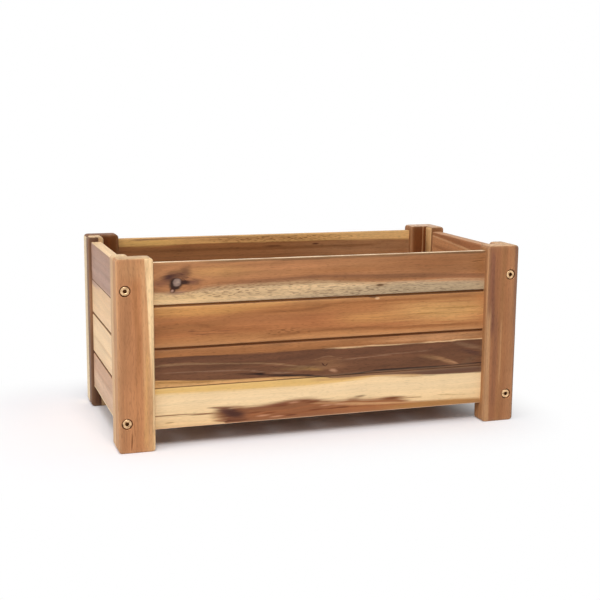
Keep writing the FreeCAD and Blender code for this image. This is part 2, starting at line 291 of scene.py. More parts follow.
def new_piece(name, spots, faces):
    """A mesh object at the origin, of points in mm and faces."""
    mesh = bpy.data.meshes.new(name)
    mesh.from_pydata((spots.reshape(-1, 3) * MM).tolist(), [], faces)
    piece = bpy.data.objects.new(name, mesh)
    bpy.context.scene.collection.objects.link(piece)
    return piece


def stand_in(piece, node, body, material):
    """Smooth a piece up to its sharp edges, lay its material on and put it in place of a CAD node."""
    piece.data.shade_smooth()
    piece.data.set_sharp_from_angle(angle=SHARP)
    piece.data.materials.clear()
    piece.data.materials.append(material)
    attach(piece, body)
    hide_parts(node)


def timber(name, node, body, axes, middle, rings, half_sizes, easing, material, cutters=()):
    """Skin over rings of points, with cutters taken out of the solid.

    Ring i lies at along[i], and its points at (across, through)[i]. Axes tells which of X, Y and Z they
    follow, and an odd order turns the faces round. The attribute edge falls from 1 on an eased edge by a
    factor e for every EDGE_FADE mm.
    """
    along, across, through = rings
    spots = np.empty((*across.shape, 3))
    spots[..., axes[0]] = along[:, None]
    spots[..., axes[1]] = across
    spots[..., axes[2]] = through
    handed = np.linalg.det(np.eye(3)[list(axes)])
    piece = new_piece(name, spots + middle, tube_faces(*across.shape, handed))
    for cutter in cutters:
        cut = piece.modifiers.new("cut", "BOOLEAN")
        cut.operation = "DIFFERENCE"
        cut.solver = "EXACT"
        cut.object = cutter
    if cutters:
        carved = bpy.data.meshes.new_from_object(piece.evaluated_get(bpy.context.evaluated_depsgraph_get()))
        piece.modifiers.clear()
        piece.data = carved
        for cutter in cutters:
            bpy.data.objects.remove(cutter)
    local = np.empty(len(piece.data.vertices) * 3)
    piece.data.vertices.foreach_get("co", local)
    local = np.abs(local.reshape(-1, 3) / MM - middle)[:, list(axes)]
    limits = np.array([along.max(), *half_sizes]) - easing
    gaps = np.sort(np.maximum(limits - local, 0), axis=1)
    edge = piece.data.attributes.new("edge", "FLOAT", "POINT")
    edge.data.foreach_set("value", np.exp(-gaps[:, 1] / EDGE_FADE).astype(np.float32))
    stand_in(piece, node, body, material)


def bar(name, node, body, axes, edge, ends, seed, wood, cutters=()):
    """A straight piece that fills its CAD node's box: an eased bar, planed and given its wood."""
    low, high = box_mm(node)
    size = (high - low)[list(axes)]
    rings = planed(eased_bar(size, edge, ends), size[1:] / 2, seed)
    material = acacia("oiled_acacia_" + node, axes, low, high, **wood)
    timber(name, node, body, axes, (low + high) / 2, rings, size[1:] / 2, edge, material, cutters)


def turned_cutter(outline, place, axis, flip):
    """A closed solid of revolution to bore with: (radius, depth) of its outline carried round an axis.

    Depth runs from place along the axis, or against it where flip is -1. The outline starts and ends at
    radius 0.
    """
    radius, depth = np.array(outline).T
    angle = np.linspace(0, 2 * np.pi, BORE_STEPS, endpoint=False)
    side_a, side_b = [row for row in (X, Y, Z) if row != axis]
    spots = np.empty((len(outline), BORE_STEPS, 3))
    spots[..., side_a] = radius[:, None] * np.cos(angle)
    spots[..., side_b] = radius[:, None] * np.sin(angle)
    spots[..., axis] = flip * depth[:, None]
    handed = flip if axis != Y else -flip
    return new_piece("cutter", spots + place, tube_faces(len(outline), BORE_STEPS, handed))


leg_woods = {}
leg_woods["front_left_leg"] = dict(
    bands=((0, "#b9845a"), (0.06, "#b67f55"), (0.35, "#b77d52"), (0.6, "#b67b4f"), (0.75, "#c08b5e"),
           (0.9, "#cd9d6c"), (1, "#d7ab78")),
    marks=(
        ("line", ((0, -205), (60, -206), (110, -203), (160, -206), (201, -205)), 2.5, 4, "#a66d41", 0.6),
        ("spot", (35, -207, 60, 15, 0), 0.9, "#c1875a", 0.6),
        ("line", ((60, -198), (110, -197), (201, -199)), 1.6, 3, "#cb996a", 0.6),
        ("line", ((0, -197), (50, -196), (110, -194)), 1.5, 3, "#d5a367", 0.7),
        # Pale cream sapwood along the right edge, made paler still as a painted highlight of the rounded edge
        ("above", ((0, -189), (21, -189), (74, -189.6), (120, -192.2), (160, -194.2), (201, -196)), 0.8,
         "#eecb99", 0.95),
        ("spot", (12, -211.5, 11, 0.9, 3), 0.6, "#6b3d1d", 0.8),
        ("spot", (26, -208.5, 12, 0.7, -4), 0.6, "#9d653d", 0.6),
        ("spot", (190, -206, 14, 22, 0), 0.9, "#bf9063", 0.5),
        ("below", -224.4, 0.25, "#c18d5e", 0.95),
        # Painted highlight: the top end is paler, for the light from above
        ("spot", (201, -206, 0.8, 60, 0), 0.5, "#c4a278", 0.9)))
leg_woods["front_right_leg"] = dict(
    bands=((0, "#a9754b"), (0.05, "#a8744b"), (0.12, "#a26d48"), (0.3, "#9d6744"), (0.5, "#a67248"),
           (0.62, "#9f6a44"), (0.8, "#ad7850"), (0.93, "#a8744e"), (1, "#8c6549")),
    marks=(
        ("line", ((95, 197), (125, 195), (160, 194), (201, 193.5)), 2.4, 2.5, "#845440", 0.75),
        ("line", ((15, 200), (60, 199.5), (95, 200), (130, 198)), 2.6, 3, "#8c5c41", 0.6),
        # Painted highlight: a pale line by the left edge on the lower part
        ("line", ((-25, 191.8), (50, 191.5), (110, 191), (140, 190.5)), 2.2, 2.5, "#c29266", 0.85),
        ("below", 188.8, 0.6, "#a3734b", 0.7),
        # Painted shade: a dark line by the left edge on the upper part, for the shade where leg and panel
        # meet
        ("line", ((115, 190.6), (160, 190.5), (250, 190.5)), 2.2, 2.5, "#7f5038", 0.6),
        ("line", ((40, 207), (80, 206), (120, 207)), 1.0, 1.5, "#be8c61", 0.6),
        # Painted shade: the right edge is darker, for the rounded edge turning away from the light
        ("above", ((0, 223.6), (80, 222.4), (201, 220.6)), 1.5, "#755040", 0.8),
        # Painted highlight: the top end is paler, for the light from above
        ("spot", (201, 206, 0.8, 60, 0), 0.5, "#cfa67e", 0.9)))
leg_woods["rear_left_leg"] = dict(
    bands=((0, "#703e17"), (0.4, "#6a3811"), (0.7, "#64330e"), (1, "#77451a")),
    marks=(
        ("line", ((20, -202), (100, -203), (190, -201)), 2.4, 4, "#643111", 0.6),
        # Pale cream outer side: partly the wood's colour and partly a painted highlight of the light from the
        # left
        ("below", -224.4, 0.25, "#f0d7ae", 0.95)))
leg_woods["rear_right_leg"] = dict(
    # The first few mm across are lighter: a painted highlight of the rounded left edge
    bands=((0, "#9a6840"), (0.08, "#8a5731"), (0.2, "#784420"), (0.5, "#733e1a"), (0.8, "#7d4820"),
           (1, "#ab764c")),
    marks=(
        ("line", ((20, 210), (110, 208), (190, 210)), 3, 4, "#5f2d10", 0.5),
        # Painted highlight: a thin pale line on the front face near the right edge
        ("line", ((-20, 203.5), (110, 203.2), (230, 203.5)), 0.7, 0.9, "#b98a60", 0.7),
        # Painted highlight: the top end is paler, for the light from above
        ("spot", (201, 206, 0.8, 60, 0), 0.5, "#dcb99c", 0.9)))
bolt_low, bolt_high = box_mm("corner_bolts")
bolt_levels = (bolt_low[Z] + BOLT_HEAD, bolt_high[Z] - BOLT_HEAD)
mouth = POCKET_RADIUS + MOUTH_BEVEL
pocket = ((0, -BORE_OVERRUN), (mouth + BORE_OVERRUN, -BORE_OVERRUN), (mouth, 0),
          (POCKET_RADIUS, MOUTH_BEVEL), (POCKET_RADIUS, POCKET_DEPTH), (0, POCKET_DEPTH))
for number, (node, wood) in enumerate(leg_woods.items()):
    low, high = box_mm(node)
    side = np.sign(low + high)
    bolt_x = side[X] * (bolt_high[X] - BOLT_HEAD)
    face = high[Y] if side[Y] > 0 else low[Y]
    cutters = [turned_cutter(pocket, (bolt_x, face, level), Y, -side[Y]) for level in bolt_levels]
    wood = dict(wood, pith=LEG_PITH)
    name = "leg_" + node.removesuffix("_leg")
    bar(name, node, "crate", LEG_AXES, LEG_EDGE, LEG_ENDS, number, wood, cutters)

# Long panels: front and rear walls of four acacia boards each, tongue and groove, glued up with two open
# seams and a tight one. Their ends stand in grooves of the legs.
OPEN_SEAM, TIGHT_SEAM, RIM = (2.0, 1.5), (0.3, 0.4), 1.0
TONGUE, TONGUE_HEIGHT, GROOVE, GROOVE_DEPTH = 3.0, 4.5, 3.3, 5.0
LONG_AXES, LONG_TENON, LONG_SEAMS = (X, Z, Y), 7.0, (OPEN_SEAM, OPEN_SEAM, TIGHT_SEAM)
BOARD_RUN_IN, FACE_STEP, STATION_GAP, ARC_STEPS = 0.3, 2.5, 0.2, 5
KNOT_REACH, KNOT_STEPS, KNOT_RING, FACE_SHARE = 2.2, 25, 1.2, 0.9
RING_SINK, RING_WIDE, CORE_SINK, CORE_WIDE = 0.3, 0.35, 0.08, 0.7
# Painted shade: the tongue that shows in a seam is coloured dark brown for the shade in the gap
SEAM_PAINTED_SHADE, SEAM_SHADE_DROP, SEAM_SHADE_SOFT, SEAM_SHADE_STRENGTH = "#6d3b16", 0.55, 0.3, 0.8


def stations(start, end, step, spots):
    """Places from start to end, step apart, and closer round each (place, reach) of spots."""
    low, high = min(start, end), max(start, end)
    places = [np.linspace(start, end, round((high - low) / step) + 1)]
    places += [np.linspace(spot - reach, spot + reach, KNOT_STEPS) for spot, reach in spots]
    places = np.unique(np.round(np.concatenate(places), 2))
    places = places[(places > low + STATION_GAP) & (places < high - STATION_GAP)]
    places = np.concatenate([[low], places, [high]])
    return places if end > start else places[::-1]


def grooved_board(size, radii, tongue, groove, knots):
    """Rings of a board: one outline, with a tongue above and a groove below, carried along the grain.

    Size is length, width and thickness in mm, and radii round the lower and the upper edges. Rings and
    points stand closer together round a knot, whose (along, across, radius) is measured from the board's
    middle.
    """
    half, half_width, half_thick = np.array(size) / 2
    low_radius, high_radius = radii
    along = stations(-half, half, GRID, [(row[0], KNOT_REACH * row[2]) for row in knots])
    spots = [(row[1], KNOT_REACH * row[2]) for row in knots]
    quarter = np.linspace(0, np.pi / 2, ARC_STEPS)
    square = np.array([-1, -1, 1, 1])
    outline = []
    for sign, radius, turn in ((1, high_radius, 0), (-1, low_radius, np.pi)):
        centre_b, centre_c = sign * (half_width - radius), sign * (half_thick - radius)
        arc = turn - np.pi / 2 + quarter
        outline.append((centre_b + radius * np.cos(arc), -centre_c + radius * np.sin(arc)))
        if sign > 0 and tongue:
            top = half_width + tongue
            outline.append(([half_width, top, top, half_width], square * TONGUE / 2))
        if sign < 0 and groove:
            top = GROOVE_DEPTH - half_width
            outline.append(([-half_width, top, top, -half_width], -square * GROOVE / 2))
        arc = turn + quarter
        outline.append((centre_b + radius * np.cos(arc), centre_c + radius * np.sin(arc)))
        ends = (half_width - high_radius, -half_width + low_radius)
        face = stations(*(ends if sign > 0 else ends[::-1]), FACE_STEP, spots)[1:-1]
        outline.append((face, np.full(len(face), sign * half_thick)))
    across = np.concatenate([row[0] for row in outline])
    through = np.concatenate([row[1] for row in outline])
    return along, np.tile(across, (len(along), 1)), np.tile(through, (len(along), 1))


def knotted(along, across, through, half_thick, knots):
    """Sink the ring of each knot and let its core stand nearly flush, on both faces.

    The sink is a bell curve of the distance from the knot's middle, deepest at KNOT_RING radii, and a
    shallow one at the core.
    """
    for place, height, radius in knots:
        far = np.hypot(along[:, None] - place, across - height) / radius
        sink = RING_SINK * np.exp(-((far - KNOT_RING) / RING_WIDE) ** 2)
        sink += CORE_SINK * np.exp(-(far / CORE_WIDE) ** 2)
        through = through - np.sign(through) * sink * (np.abs(through) > FACE_SHARE * half_thick)
    return along, across, through


def panel(side, axes, tenon, seams, woods, seed):
    """Four boards of one panel, from the top down. Their tenons, hidden in the uprights, are left off."""
    grain, up = axes[:2]
    for number, wood in enumerate(woods):
        node = f"{side}_board_{number + 1}"
        low, high = box_mm(node)
        above = seams[number - 1] if number > 0 else None
        below = seams[number] if number < len(seams) else None
        low[grain] += tenon - BOARD_RUN_IN
        high[grain] -= tenon - BOARD_RUN_IN
        tongue = above[0] + TONGUE_HEIGHT if above else 0
        high[up] -= tongue
        middle = (low + high) / 2
        size = (high - low)[list(axes)]
        radii = (below[1] if below else RIM, above[1] if above else RIM)
        knots = [(row[0] - middle[grain], row[1] - middle[up], row[2]) for row in wood.get("knots", ())]
        rings = grooved_board(size, radii, tongue, below is not None, knots)
        rings = knotted(*planed(rings, size[1:] / 2, seed + number), size[2] / 2, knots)
        # Painted shade: the top of the tongue, seen in the seam above, is coloured dark for the shade in the
        # gap
        seam_shade = ("above", float(high[up]) - SEAM_SHADE_DROP, SEAM_SHADE_SOFT, SEAM_PAINTED_SHADE, SEAM_SHADE_STRENGTH)
        marks = (*wood["marks"], seam_shade) if above else wood["marks"]
        material = acacia("oiled_acacia_" + node, axes, low, high, **dict(wood, marks=marks))
        name = f"plank_{side}_{number + 1}"
        timber(name, node, "crate", axes, middle, rings, size[1:] / 2, min(radii), material)


front_1 = dict(
    bands=((0, "#ae764b"), (0.45, "#a97249"), (0.7, "#ae794e"), (0.9, "#ac754b"), (1, "#a77146")),
    knots=((-162.2, 172.7, 6),),
    marks=(
        ("spot", (-120, 184, 45, 7, 0), 0.9, "#b98852", 0.6),
        ("spot", (-30, 186, 60, 6, 0), 0.9, "#b77c51", 0.6),
        ("spot", (20, 180, 70, 5, 0), 0.9, "#a56c41", 0.6),
        ("spot", (125, 184, 80, 12, 0), 0.9, "#94603a", 0.85),
        ("spot", (185, 180, 18, 20, 0), 0.9, "#986336", 0.6),
        ("below", ((-187, 163.5), (-157, 163), (-134, 166.5), (-99, 168.4), (-64, 169.3), (-40, 169.5),
         (-8, 169.3), (20, 166.5), (73, 163.8), (114, 162.1), (156, 160.4), (187, 159.2)), 3.6, "#d5b387",
         1.0),
        ("spot", (-165, 157, 70, 7, 0), 0.7, "#dab583", 0.9),
        ("spot", (110, 158, 150, 8, 0), 0.8, "#b29a7a", 0.9),
        ("line", ((-150, 165), (-110, 166), (-60, 168), (0, 167), (60, 165)), 1.0, 2, "#a6835e", 0.6),
        ("below", ((-187, 147), (-120, 149), (-93, 152), (-52, 154.5), (-7, 155.5), (60, 155.5),
         (187, 154)), 2.5, "#ab9475", 0.7),
        ("fleck", (60, 155, 150, 6, 0), 0.8, "#6b4e36", 0.65),
        ("fleck", (40, 162, 150, 5, 0), 0.9, "#7b6247", 0.5),
        ("fleck", (-120, 161, 70, 6, 0), 0.7, "#8c6945", 0.8),
        ("fleck", (-60, 168, 110, 4, 1), 0.8, "#8c6241", 0.6),
        ("line", ((-125, 171), (-76, 172), (-40, 172.9), (-8, 174), (20, 173.5), (73, 171.3),
         (114, 170.2), (157, 168.6), (187, 167.2), (270, 163)), 2.2, 3.5, "#85583b", 0.75),
        ("spot", (61.5, 161.8, 5, 1.5, 0), 0.6, "#452513", 0.95),
        ("spot", (61.5, 161.8, 13, 2.2, 0), 1, "#795a3d", 0.5),
        ("spot", (178, 184, 9, 0.7, 4), 0.6, "#693f20", 0.7),
        ("spot", (182, 187, 6, 0.6, 4), 0.6, "#794d2b", 0.6),
        ("spot", (-164.2, 178.7, 17, 9, 12), 1, "#65412f", 0.9),
        ("spot", (-170.2, 179.5, 9.5, 5, 22), 1, "#402420", 0.92),
        ("spot", (-153.2, 184.2, 9, 7, 60), 1, "#6b452f", 0.85),
        ("spot", (-180.2, 173.2, 13, 5, 0), 1, "#7d503a", 0.75),
        ("spot", (-145.2, 173.5, 12, 4, 0), 1, "#5f3c30", 0.88),
        ("line", ((-170.2, 179.7), (-162.2, 182.7), (-156.2, 181.7), (-151.7, 176.7), (-149.2, 172.7)),
         1.0, 1.4, "#573425", 0.8),
        ("line", ((-168.2, 184.7), (-161.2, 186.2), (-154.2, 184.2), (-147.2, 176.7)), 0.6, 1.0,
         "#775031", 0.6),
        ("spot", (-162.2, 163.3, 12, 2.2, 3), 1, "#926d5a", 0.75),
        ("spot", (-162.6, 172.3, 8.2, 7.2, 42), 0.4, "#210f0b", 0.95),
        ("spot", (-153.6, 173.5, 6.5, 3, -4), 0.7, "#27120e", 0.92),
        ("spot", (-166.2, 166.3, 3.9, 3.2, 35), 0.5, "#3a1b12", 0.88),
        ("spot", (-166.8, 165.3, 1.9, 1.4, 20), 0.6, "#b08a75", 0.9),
        ("spot", (-161.5, 173.6, 5.0, 4.3, 42), 0.4, "#8d7467", 0.97),
        ("spot", (-160.6, 174.5, 2.8, 2.2, 42), 0.9, "#a89080", 0.7),
        # Painted shade: a dark line just under the rim, for the shade on the eased top edge
        ("line", ((-150, 194), (0, 193.8), (120, 193.9), (270, 194)), 1.3, 2.2, "#6b4527", 0.85),
        # Painted highlight: the top face is pale cream, for the sheen and the light from above
        ("above", 194.9, 0.07, "#f0d6b0", 0.95)))
front_2 = dict(
    bands=((0, "#ba804e"), (0.12, "#b57b4a"), (0.3, "#a96c40"), (0.6, "#a76c41"), (0.8, "#af7343"),
           (1, "#b47946")),
    marks=(
        ("above", ((-187, 140), (-146, 138.8), (-117, 139.1), (-88, 141.7), (-55, 145.5), (-20, 150)),
         3.2, "#c38b4f", 0.9),
        ("spot", (-150, 128, 60, 7, 2), 0.9, "#946036", 0.6),
        ("line", ((-187, 128), (-154, 131.8), (-128, 126), (-100, 122.5), (-60, 122)), 2.2, 4, "#8c5630",
         0.5),
        ("line", ((-84, 138.5), (-46, 138.5), (-7, 140.8), (7, 143.3), (47, 144.4), (101, 144.5),
         (180, 145.3)), 1.4, 2.4, "#905a32", 0.7),
        ("spot", (138, 130, 75, 14, -1), 0.85, "#d6a163", 0.95),
        ("spot", (50, 127, 60, 8, 0), 0.9, "#bd864e", 0.8),
        ("spot", (-10, 127, 40, 9, 0), 0.9, "#a6673d", 0.6),
        ("line", ((-80, 111.5), (-18, 115), (32, 116.2), (88, 113.4), (116, 113.6), (190, 114)), 1.3, 2.4,
         "#90562d", 0.55),
        ("line", ((-152, 123), (-130, 122), (-104, 121)), 0.5, 0.8, "#7e4e30", 0.7),
        ("line", ((-150, 119.4), (-127, 118.5), (-95, 117.6)), 0.5, 0.8, "#7e4e30", 0.7),
        ("line", ((100, 128), (150, 127), (186, 126.5)), 0.5, 0.8, "#a07036", 0.5),
        ("line", ((110, 134), (150, 133.4), (186, 133)), 0.4, 0.8, "#a07036", 0.5),
        ("fleck", (-45, 117, 28, 4, 0), 0.7, "#794827", 0.8),
        ("spot", (54, 149.3, 7, 1.5, 0), 0.6, "#4b2812", 0.95),
        ("spot", (58.5, 147.4, 3.2, 1.4, 0), 0.5, "#dcae80", 0.9)))
front_3 = dict(
    bands=((0, "#6d462e"), (0.3, "#704931"), (0.6, "#69432d"), (1, "#67412a")), contrast=1.2, lean=0.05,
    marks=(
        ("above", ((-187, 96.4), (-157, 96.4), (-111, 95.9), (-64, 95.3), (-7, 95.5), (56, 95.7),
         (116, 95.4), (187, 96)), 0.9, "#a36b3f", 1.0),
        ("spot", (130, 100, 85, 5, 0), 0.8, "#be895c", 0.85),
        ("line", ((-5, 95.2), (56, 95.3), (89, 95.2), (116, 94.9), (144, 95.3), (187, 95.5), (225, 95.6)),
         0.75, 0.7, "#ddb385", 0.9),
        ("line", ((-210, 86.6), (-157, 88.3), (-123, 87.1), (-88, 84.8), (-58, 82.6), (-39, 79.1),
         (-21, 76.7), (10, 76)), 0.9, 1.6, "#936e4d", 0.75),
        ("line", ((-180, 80), (-134, 79.4), (-99, 78.2), (-76, 75.5), (-52, 72.2), (-30, 71)), 0.7, 1.4,
         "#8a664e", 0.75),
        ("spot", (-25, 75, 30, 2.6, -3), 0.8, "#8c6641", 0.9),
        ("spot", (-14, 73.5, 12, 2, -10), 0.8, "#997141", 0.7),
        ("line", ((-110, 74.5), (-82, 73), (-52, 69.2), (-27, 67.6), (-10, 65.6), (2, 64.3), (22, 64.4),
         (40, 65.6), (63, 67.3), (111, 67.2), (160, 67.5), (225, 69.5)), 0.95, 1.2, "#26120b", 0.95),
        ("below", ((-187, 73.6), (-158, 71.1), (-111, 68.5), (-64, 67.4), (-27, 65.8), (0, 63.5)), 1.1,
         "#cf9c61", 1.0),
        ("line", ((-205, 71.5), (-160, 69.5), (-120, 67.5)), 0.9, 1.6, "#a3733b", 0.7),
        ("spot", (4, 78.5, 20, 6.5, -6), 0.9, "#8a6040", 0.8),
        ("spot", (9, 70.6, 5.5, 2.2, -12), 0.9, "#bb8c6a", 0.85),
        ("spot", (-2.6, 78, 3.2, 0.8, -44), 0.6, "#3f1d11", 0.9),
        ("spot", (1.2, 77.6, 2.6, 0.7, 42), 0.6, "#462414", 0.85),
        ("line", ((-14, 82), (-6, 86), (6, 86.5), (17, 81), (20, 73)), 0.6, 1.2, "#976e4e", 0.5),
        ("line", ((15, 81.6), (42, 82.7), (64, 83.9), (89, 85), (125, 86)), 0.7, 1.2, "#876249", 0.7),
        ("spot", (126, 77.5, 16, 3, -10), 0.9, "#936a47", 0.85),
        ("spot", (141, 73.8, 15, 3, -20), 0.8, "#a57852", 0.85),
        ("spot", (152, 70.6, 7, 1.4, -18), 0.8, "#b4855f", 0.7),
        ("spot", (172, 88, 30, 3, -14), 0.9, "#876449", 0.7),
        ("spot", (176, 80, 22, 3, -16), 0.9, "#54352a", 0.7),
        ("spot", (172, 72, 16, 4, 20), 0.9, "#6b4d36", 0.6)))
front_4 = dict(
    bands=((0, "#dcb684"), (0.3, "#eccb9a"), (0.6, "#efd1a3"), (0.85, "#edcd9d"), (1, "#e9c792")),
    contrast=0.5,
    marks=(
        ("above", ((-187, 58.1), (-146, 57.5), (-88, 56.9), (-51, 56.7), (-6, 56.2), (30, 58), (60, 61),
         (90, 65)), 2.2, "#e2b86f", 0.95),
        ("above", ((-20, 66), (0, 63.4), (22, 61.6), (52, 62.2), (75, 61.8), (95, 60.2), (111, 59.2),
         (136, 57.6), (160, 57), (187, 56.5)), 0.9, "#77523b", 0.97),
        ("spot", (150, 61, 75, 4.5, 0), 0.7, "#644433", 0.9),
        ("line", ((-20, 62.4), (22, 60.8), (52, 61.2), (80, 60.2), (120, 57.6)), 1.2, 2.2, "#c99a65",
         0.7),
        ("below", ((-187, 6), (-116, 8), (-111, 22), (-107, 33), (-103, 38.6), (-97, 38.8), (-92, 38),
         (-84.8, 37.6), (-75, 37.9), (-66, 38.6), (-47.8, 40.2), (-34.6, 41.6), (-22, 41.5), (-9.9, 40.6),
         (0, 38.8), (20, 36.7), (30, 38), (45, 36), (64, 35.5), (79, 35.5), (95, 32), (111, 28),
         (147, 25.4), (187, 24.4)), 3.2, "#87502f", 0.96),
        ("spot", (58, 27, 62, 8, -3), 0.8, "#a3683f", 0.85),
        ("spot", (135, 24, 75, 5, 0), 0.6, "#aa7842", 0.95),
        ("line", ((-20, 35.8), (2, 34.8), (29, 32.1), (60, 30.2), (115, 28)), 1.0, 1.8, "#cd9c6c", 0.75),
        ("line", ((-95, 28.3), (-51, 30.4), (-6, 33.8), (15, 34)), 1.1, 2.0, "#a9673f", 0.35),
        ("line", ((-70, 25), (-30, 27), (20, 29), (60, 27)), 0.7, 1.4, "#7b4325", 0.6),
        ("line", ((-62, 36.8), (-33, 39.2), (-4, 39)), 1.6, 2.8, "#75412a", 0.4),
        *(("spot", (along, height, 10, 1.0, 2), 0.8, "#6a3519", 0.7) for along, height in ((-79, 30.9),
         (-62.6, 29.3), (-49.5, 36), (-14, 37.6), (-23, 39.7), (-9.4, 28.9), (10, 28.7))),
        *(("spot", (along, height, 9, 1.1, 2), 0.8, "#c58f6c", 0.7) for along, height in ((-70.4, 26.9),
         (-54.7, 24.8), (2, 32.6), (-36, 38.5), (17, 32.6))),
        ("line", ((-92, 35.4), (-66, 36.4), (-40, 38.4)), 1.2, 1.8, "#74402a", 0.6),
        ("spot", (-112, 31, 15, 8.5, 0), 1, "#b9804f", 0.95),
        ("spot", (-113, 37.6, 12, 3, 2), 1, "#7d4d33", 0.9),
        ("spot", (-110, 25.2, 10, 3, -2), 1, "#7d4a2e", 0.9),
        ("spot", (-106, 31, 20, 9, -4), 0.9, "#5c3325", 0.93),
        ("spot", (-110, 34.6, 11, 4.2, -8), 0.8, "#542f28", 0.85),
        ("spot", (-101, 31.2, 12, 5.4, -14), 0.8, "#45261c", 0.85),
        ("spot", (-121, 39.4, 11, 1.2, -2), 0.8, "#7a4c33", 0.85),
        ("spot", (-118, 24.9, 9, 1.1, -4), 0.8, "#8a5837", 0.8),
        ("line", ((-112, 24), (-100, 23.6), (-84, 24)), 1.1, 1.4, "#512411", 0.8),
        ("spot", (-39, 24.9, 8, 0.9, 0), 0.6, "#542513", 0.85),
        ("spot", (21, 28.9, 8, 0.9, 0), 0.6, "#5e3016", 0.85),
        ("spot", (40, 39.6, 8, 1.4, 4), 0.9, "#836343", 0.85),
        ("spot", (78, 34.8, 17, 2.2, 0), 0.9, "#703d1e", 0.95),
        ("line", ((85, 34.6), (100, 34.2), (118, 33.8)), 0.8, 1.6, "#a57b52", 0.7),
        ("spot", (-171, 27.2, 6, 0.7, 2), 0.6, "#a07647", 0.8),
        ("line", ((130, 34.3), (150, 33.2), (168, 32)), 0.4, 0.7, "#be9764", 0.7),
        ("line", ((-215, 34.5), (-164, 34.6), (-144, 33.8), (-126, 33), (-108, 32.6)), 0.55, 0.9,
         "#815433", 0.9),
        ("below", 21.9, 0.3, "#e6c09a", 0.8)))
rear_1 = dict(
    bands=((0, "#96643e"), (0.4, "#97643d"), (0.75, "#925f37"), (1, "#9a683d")),
    marks=(
        ("spot", (130, 176, 120, 14, 0), 0.9, "#a87a54", 0.8),
        ("above", ((-187, 186), (-60, 186.5), (60, 186), (187, 184.5)), 1.0, "#d4a264", 1.0),
        ("spot", (-150, 190, 45, 6, 0), 0.8, "#dcae66", 0.9),
        ("spot", (150, 190, 90, 6, 0), 0.8, "#edbe7d", 0.9),
        ("spot", (-20, 190.5, 95, 3.4, 0), 0.9, "#bd8a56", 0.8),
        ("fleck", (20, 190, 110, 4, 0), 0.6, "#794c23", 0.8),
        ("spot", (5, 180.5, 14, 1.6, 0), 0.7, "#5a3218", 0.8),
        ("spot", (60, 181.8, 5, 1.2, 0), 0.6, "#4a2413", 0.85),
        ("line", ((-150, 178), (-60, 179), (40, 178), (160, 180)), 1.6, 3, "#774825", 0.6),
        ("line", ((-175, 193), (-130, 193.4), (-90, 193.6), (-40, 194)), 1.0, 1.6, "#85583a", 0.75),
        # Painted highlight: the top face is paler, for the sheen and the light from above
        ("above", 194.8, 0.1, "#c69c66", 0.7)))
rear_2 = dict(
    bands=((0, "#a16143"), (0.3, "#a56443"), (0.6, "#ae714c"), (0.85, "#9e6143"), (1, "#975d40")),
    marks=(
        ("line", ((-187, 126), (-90, 129), (20, 127), (120, 131)), 2, 4, "#874f37", 0.6),
        ("spot", (100, 120, 90, 4, -1), 0.8, "#bb825b", 0.6)))
rear_3 = dict(
    bands=((0, "#e0bb89"), (0.3, "#eac898"), (0.7, "#eccf9f"), (1, "#ddb681")), contrast=0.7,
    marks=(
        ("below", ((-60, 60), (0, 68), (90, 76), (187, 73)), 1.5, "#a57045", 0.9),
        ("spot", (-120, 96, 90, 3, -1), 0.8, "#d6ac74", 0.7)))
rear_4 = dict(
    bands=((0, "#a57047"), (0.3, "#ae784e"), (0.6, "#b78353"), (1, "#a36c41")),
    marks=(
        ("line", ((-120, 38), (0, 41), (160, 39)), 2, 4, "#8c5937", 0.6),
        ("spot", (-100, 52, 100, 4, 0), 0.8, "#c2905a", 0.6)))
panel("front", LONG_AXES, LONG_TENON, LONG_SEAMS, (front_1, front_2, front_3, front_4), seed=20)
panel("rear", LONG_AXES, LONG_TENON, LONG_SEAMS, (rear_1, rear_2, rear_3, rear_4), seed=30)

# Stiles: four narrow uprights of acacia that stand behind the legs and carry the end panels. They are
# rounded like the legs, and each hides two threaded inserts that the corner bolts pull on.
stile_woods = {}
stile_woods["left_front_stile"] = dict(
    bands=((0, "#c9a074"), (0.1, "#d3ad80"), (0.3, "#e7c699"), (0.7, "#d6af81"), (1, "#b6875b")),
    bare_edge=0.25,
    marks=(
        ("below", -224.4, 0.25, "#cfa67a", 0.95),
        # Painted highlight: the top end is paler, for the light from above
        ("spot", (201, -216, 0.8, 40, 0), 0.5, "#d9b78b", 0.9)))
stile_woods["left_rear_stile"] = dict(
    bands=((0, "#6f4a33"), (0.35, "#61402c"), (0.62, "#5c3926"), (0.68, "#c29d73"), (1, "#cdaa7e")),
    marks=(
        ("line", ((10, -220), (100, -219.5), (190, -220)), 1.2, 2, "#764f3e", 0.6),
        ("spot", (125, -222, 40, 8, 0), 0.9, "#976b4a", 0.8),
        ("below", -224.7, 0.15, "#75503a", 0.9),
        # Painted highlight: the top end is paler, for the light from above
        ("spot", (201, -216, 0.8, 40, 0), 0.5, "#e2be93", 0.9)))
stile_woods["right_front_stile"] = dict(
    bands=((0, "#9d6540"), (0.5, "#915a38"), (1, "#a56f48")),
    marks=(
        # Painted highlight: the top end is paler, for the light from above
        ("spot", (201, 216, 0.8, 40, 0), 0.5, "#d4ae87", 0.8),))
stile_woods["right_rear_stile"] = dict(
    # Pale at the left edge, then dark brown: partly the wood's colour and partly painted shade beside the end
    # panel
    bands=((0, "#e9bb85"), (0.04, "#dcac74"), (0.1, "#7d4f2b"), (0.2, "#8a5a35"), (1, "#97633e")),
    marks=(
        # Painted highlight: the top end is paler, for the light from above
        ("spot", (201, 216, 0.8, 40, 0), 0.5, "#d9b290", 0.8),))
for number, (node, wood) in enumerate(stile_woods.items()):
    name = "stile_" + node.removesuffix("_stile")
    bar(name, node, "crate", LEG_AXES, LEG_EDGE, LEG_ENDS, 10 + number, wood)

